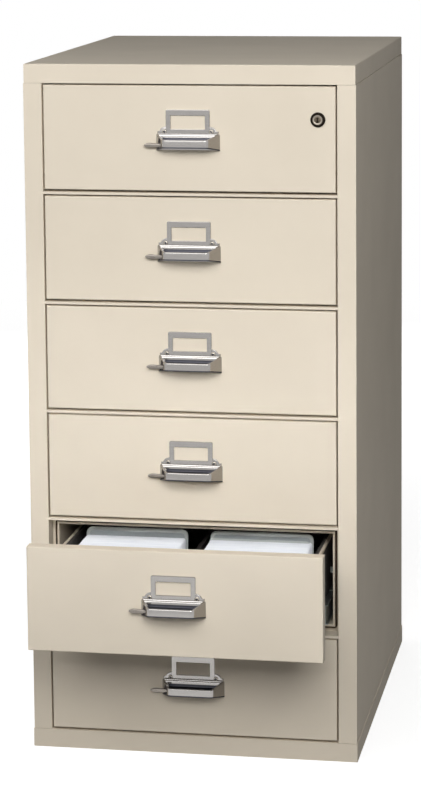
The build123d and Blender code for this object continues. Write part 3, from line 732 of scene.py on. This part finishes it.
def card_row(node, width, seed):
    """A row of standing cards: one thin rounded sheet per card, leaning back against the plate.

    Card k stands at an even step along the row. Heights and sideways places vary by a few tenths of a
    millimetre.
    """
    low, high = (np.array(corner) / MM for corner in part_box(node))
    rng = np.random.default_rng(seed)
    row_length = high[1] - low[1] - BEHIND_CARDS
    corners = [(0, 0), (width, 0), (width, CARD_H), (0, CARD_H)]
    outline = soften(corners, (0.5, 0.5, CARD_CORNER, CARD_CORNER), 4)
    share = np.arange(CARDS_PER_ROW) / CARDS_PER_ROW
    across = low[0] + 0.8 + rng.uniform(0, CARD_PLAY, CARDS_PER_ROW)
    stretch = 1 - rng.uniform(0, CARD_SHRINK, CARDS_PER_ROW)
    foot = low[1] + 0.5 + share * (row_length - LEAN)
    x = across[:, None] + outline[None, :, 0]
    z = outline[None, :, 1] * stretch[:, None]
    y = foot[:, None] + LEAN * z / CARD_H
    front = np.stack([x, y, low[2] + z], -1)
    back = front + [0, CARD_T, 0]
    return [lattice(np.stack([front[k], back[k]])) for k in range(CARDS_PER_ROW)]


def leaning(shell, node, forward=0.0):
    """Stands a plate drawn in (across, out, up) at the rear of a row, leaning back as the cards do."""
    low, high = (np.array(corner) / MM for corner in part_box(node))
    points, faces = shell
    x, out, up = points.T
    y = high[1] - PLATE_BACK - LEAN * (1 - up / (high[2] - low[2])) - out - forward
    return np.stack([low[0] + x, y, low[2] + up], -1), faces


def plate_outline(width, height, corner):
    """A rectangle that stands on its lower edge, with large rounded top corners."""
    corners = [(0, 0), (width, 0), (width, height), (0, height)]
    return soften(corners, (0.5, 0.5, corner, corner), 9)


def rolled_rim(width, height):
    """The rolled edge of the plate: a flat band with soft edges, carried round the plate's outline."""
    outer = plate_outline(width, height, PLATE_CORNER)
    inner = inset(outer, RIM_W)
    shares = (0.0, 0.0, 0.12, 0.3, 0.7, 0.88, 1.0, 1.0)
    out = (0.0, 2.2, 2.9, RIM_OUT, RIM_OUT, 2.9, 2.2, 0.0)
    return band(outer, inner, shares, out)


for side, margin, seed in (("left", 5.0, 3), ("right", 3.5, 4)):
    node = f"card_pack_{side}"
    low, high = (np.array(corner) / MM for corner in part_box(node))
    plate_w, plate_h = high[0] - low[0], high[2] - low[2]
    cards = make_piece(f"filing_cards_{side}", card_row(node, plate_w - margin, seed), CARD, "drawer_5")
    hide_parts(node)
    sheet = round_plate(plate_outline(plate_w, plate_h, PLATE_CORNER), 0, PLATE_T, 0.6, both=True)
    for name, shell, finish in (
        ("follower_plate", leaning(sheet, node), PLATE_SHADE_GREY),
        ("follower_rim", leaning(rolled_rim(plate_w, plate_h), node), PALE_GREY_AND_HIGHLIGHT),
    ):
        piece = make_piece(f"{name}_{side}", [shell], finish, "drawer_5")

GUIDE_W, GUIDE_H, GUIDE_T, GUIDE_CORNER, GUIDE_AHEAD = 199.0, 131.0, 0.8, 11.0, 15.0
guide = round_plate(plate_outline(GUIDE_W, GUIDE_H, GUIDE_CORNER), 0, GUIDE_T, 0.2, both=True)
piece = make_piece("guide_card", [leaning(guide, "card_pack_right", GUIDE_AHEAD)], PALE_GREY_AND_HIGHLIGHT, "drawer_5")


# Pale strips along the tops of the tray's sides: a painted highlight where light falls on them

TRAY_HALF_W, EDGE_W, EDGE_DROP, EDGE_RISE = 252.0, 5.5, 4.0, 0.8


def tray_edge(node, side):
    """A painted highlight on a tray wall's top: a shallow channel with rounded shoulders, carried along it.
    """
    low, high = (np.array(corner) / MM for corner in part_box(node))
    inner, outer = TRAY_HALF_W - EDGE_W, TRAY_HALF_W + 0.5
    under, over = high[2] - EDGE_DROP, high[2] + EDGE_RISE
    section = soften([(inner, under), (outer, under), (outer, over), (inner, over)], 1.0)
    ends = np.array([low[1] + 1.0, high[1] - 1.0])
    x = np.broadcast_to(side * section[:, 0], (2, len(section)))
    z = np.broadcast_to(section[:, 1], (2, len(section)))
    return lattice(np.stack([x, np.broadcast_to(ends[:, None], x.shape), z], -1))


for drawer in DRAWERS:
    edges = [tray_edge(f"drawer_{drawer}_tray", side) for side in (-1, 1)]
    piece = make_piece(f"drawer_{drawer}_tray_edges", edges, LINER_ENAMEL, f"drawer_{drawer}")


# Dark strips in the stepped openings, painted shade

OPEN_HALF_W, REBATE_DEPTH, STEP_W, SHADE_STRIP_W, SHADE_STRIP_T = 282.5, 36.0, 10.0, 3.6, 6.0
GAP_UNDER, GAP_OVER = 4.4, 3.3


def rebate_shade_strip(drawer):
    """A dark soft-edged band round the opening against the liner's lip, as painted shade in the rebate."""
    low, _ = (np.array(corner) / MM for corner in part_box("drawer_1_head"))
    head_low, head_high = (np.array(corner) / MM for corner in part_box(f"drawer_{drawer}_head"))
    bottom, top = head_low[2] - GAP_UNDER, head_high[2] + GAP_OVER
    half_w = OPEN_HALF_W - STEP_W
    under, over = bottom + STEP_W, top - STEP_W
    corners = [(-half_w, under), (half_w, under), (half_w, over), (-half_w, over)]
    inner = soften(corners, 1.0, 3)
    outer = inset(inner, -SHADE_STRIP_W)
    shares = (0.02, 0.02, 0.2, 0.8, 1.0, 1.0)
    out = np.array((0.0, SHADE_STRIP_T - 1, SHADE_STRIP_T, SHADE_STRIP_T, SHADE_STRIP_T - 1, 0.0))
    return band(inner, outer, shares, low[1] + REBATE_DEPTH - out)


for drawer in DRAWERS:
    piece = make_piece(f"rebate_shade_strip_{drawer}", [rebate_shade_strip(drawer)], REBATE_SHADE, "cabinet")


# Floor, light and camera

FLOOR_RADIUS, FLOOR_SIDES = 6.0, 96
FLOOR_GLOW, WORLD_LIGHT = 0.78, 0.02

# The camera's yaw, pitch and roll in degrees, its place in metres, its lens in millimetres and its shift
CAMERA_ANGLES = (10.299, 7.517, -0.506)
CAMERA_PLACE = (0.9214, -5.2424, 1.7185)
LENS_MM, SHIFT_UP = 118.485, -0.24


def studio_floor():
    """A pale round floor: the colour that shows is white where it is lit, and it darkens in the shadow.

    The white is added for the camera and for reflections only, so the floor sends little light upwards.
    """
    turn = np.linspace(0, 2 * np.pi, FLOOR_SIDES, endpoint=False)
    ring = np.stack([np.cos(turn), np.sin(turn), np.zeros(FLOOR_SIDES)], -1) * FLOOR_RADIUS
    mesh = bpy.data.meshes.new("studio_floor")
    mesh.from_pydata(ring.tolist(), [], [list(range(FLOOR_SIDES))])
    material, tree, place = new_material("pale_studio_floor")
    apart = add(tree, "VectorMath", {"Vector": place}, operation="LENGTH")
    far = add(
        tree,
        "MapRange",
        {"Value": (apart, "Value"), "From Min": 1.2, "From Max": FLOOR_RADIUS - 1.0},
        interpolation_type="SMOOTHSTEP",
    )
    seen = seen_directly(tree)
    lit = add(tree, "BsdfDiffuse", {"Color": linear("#bdbdbd")})
    glow = add(tree, "Emission", {"Color": (1, 1, 1, 1), "Strength": FLOOR_GLOW})
    white = add(tree, "Emission", {"Color": (1, 1, 1, 1), "Strength": 1.0})
    near = add(tree, "AddShader", {0: (lit, "BSDF"), 1: (glow, "Emission")})
    shown = add(tree, "MixShader", {0: (far, "Result"), 1: (near, "Shader"), 2: (white, "Emission")})
    dull = add(tree, "BsdfDiffuse", {"Color": linear("#a2a2a2")})
    both = add(tree, "MixShader", {0: (seen, "Value"), 1: (dull, "BSDF"), 2: (shown, "Shader")})
    finish_with(tree, both, "Shader")
    mesh.materials.append(material)
    floor = bpy.data.objects.new("studio_floor", mesh)
    bpy.context.scene.collection.objects.link(floor)


def seen_directly(tree):
    """1 for camera, glossy and transmission rays, and 0 for the rays that light the object."""
    path = add(tree, "LightPath")
    some = add(
        tree, "Math", {0: (path, "Is Camera Ray"), 1: (path, "Is Glossy Ray")}, operation="MAXIMUM"
    )
    return add(tree, "Math", {0: (some, "Value"), 1: (path, "Is Transmission Ray")}, operation="MAXIMUM")


def studio_world():
    """White all round for the camera and reflections, and a dim even light on the object."""
    world = bpy.data.worlds.new("studio_world")
    world.use_nodes = True
    tree = world.node_tree
    tree.nodes.clear()
    seen = seen_directly(tree)
    dim = add(tree, "Background", {"Color": (1, 1, 1, 1), "Strength": WORLD_LIGHT})
    white = add(tree, "Background", {"Color": (1, 1, 1, 1), "Strength": 1.0})
    mixed = add(tree, "MixShader", {0: (seen, "Value"), 1: (dim, "Background"), 2: (white, "Background")})
    output = add(tree, "OutputWorld")
    tree.links.new(mixed.outputs["Shader"], output.inputs["Surface"])
    bpy.context.scene.world = world


def softbox(name, place, target, size, watts):
    """A soft rectangular lamp at a place in metres, aimed at a target."""
    data = bpy.data.lights.new(name, "AREA")
    data.shape = "RECTANGLE"
    data.size, data.size_y = size
    data.energy = watts
    lamp = bpy.data.objects.new(name, data)
    aim = Vector(target) - Vector(place)
    lamp.matrix_world = Matrix.Translation(place) @ aim.to_track_quat("-Z", "Y").to_matrix().to_4x4()
    lamp.visible_camera = False
    bpy.context.scene.collection.objects.link(lamp)
    return lamp


def camera():
    """The photographer's place, fitted to eighteen corners of the cabinet and its drawers."""
    yaw, pitch, roll = (np.radians(angle) for angle in CAMERA_ANGLES)
    forward = np.array([-np.sin(yaw) * np.cos(pitch), np.cos(yaw) * np.cos(pitch), -np.sin(pitch)])
    right = np.array([np.cos(yaw), np.sin(yaw), 0.0])
    up = np.cross(right, forward)
    axes = np.stack(
        [np.cos(roll) * right + np.sin(roll) * up, np.cos(roll) * up - np.sin(roll) * right, -forward], 1
    )
    data = bpy.data.cameras.new("camera")
    data.sensor_width = 36.0
    data.lens = LENS_MM
    data.shift_y = SHIFT_UP
    data.clip_end = 50.0
    placed = bpy.data.objects.new("camera", data)
    placed.matrix_world = Matrix.Translation(CAMERA_PLACE) @ Matrix(axes.tolist()).to_4x4()
    bpy.context.scene.collection.objects.link(placed)
    bpy.context.scene.camera = placed


studio_floor()
studio_world()

# Each lamp's name, place, target and size, in metres, and its watts
for name, place, target, size, watts in (
    ("near_left_softbox", (-0.4, -2.2, 2.1), (0, -0.4, 0.75), (2.2, 0.8), 16.5),
    ("near_right_softbox", (0.8, -2.4, 2.2), (0, -0.4, 0.75), (1.4, 0.8), 15),
    ("far_right_softbox", (1.2, -4.0, 2.4), (0, -0.4, 0.8), (1.8, 1.2), 52),
    ("far_left_softbox", (-1.2, -4.2, 2.4), (0, -0.4, 0.8), (1.8, 1.2), 21),
    ("right_softbox", (3.4, -0.9, 3.2), (0, 0, 0.9), (1.6, 1.6), 5),
    ("left_softbox", (-3.8, 0.8, 1.2), (-0.3, 0.0, 0.7), (1.6, 1.6), 60),
    ("rear_softbox", (-1.0, 4.2, 0.7), (0, 0.4, 0.6), (2.0, 1.0), 75),
):
    softbox(name, place, target, size, watts)
strip = softbox("front_strip_with_grid", (0.0, -3.2, 1.45), (0, -0.4, 0.6), (1.6, 0.3), 0.66)
strip.data.spread = radians(20)
strip.visible_glossy = False
camera()

bpy.context.scene.view_settings.view_transform = "Standard"
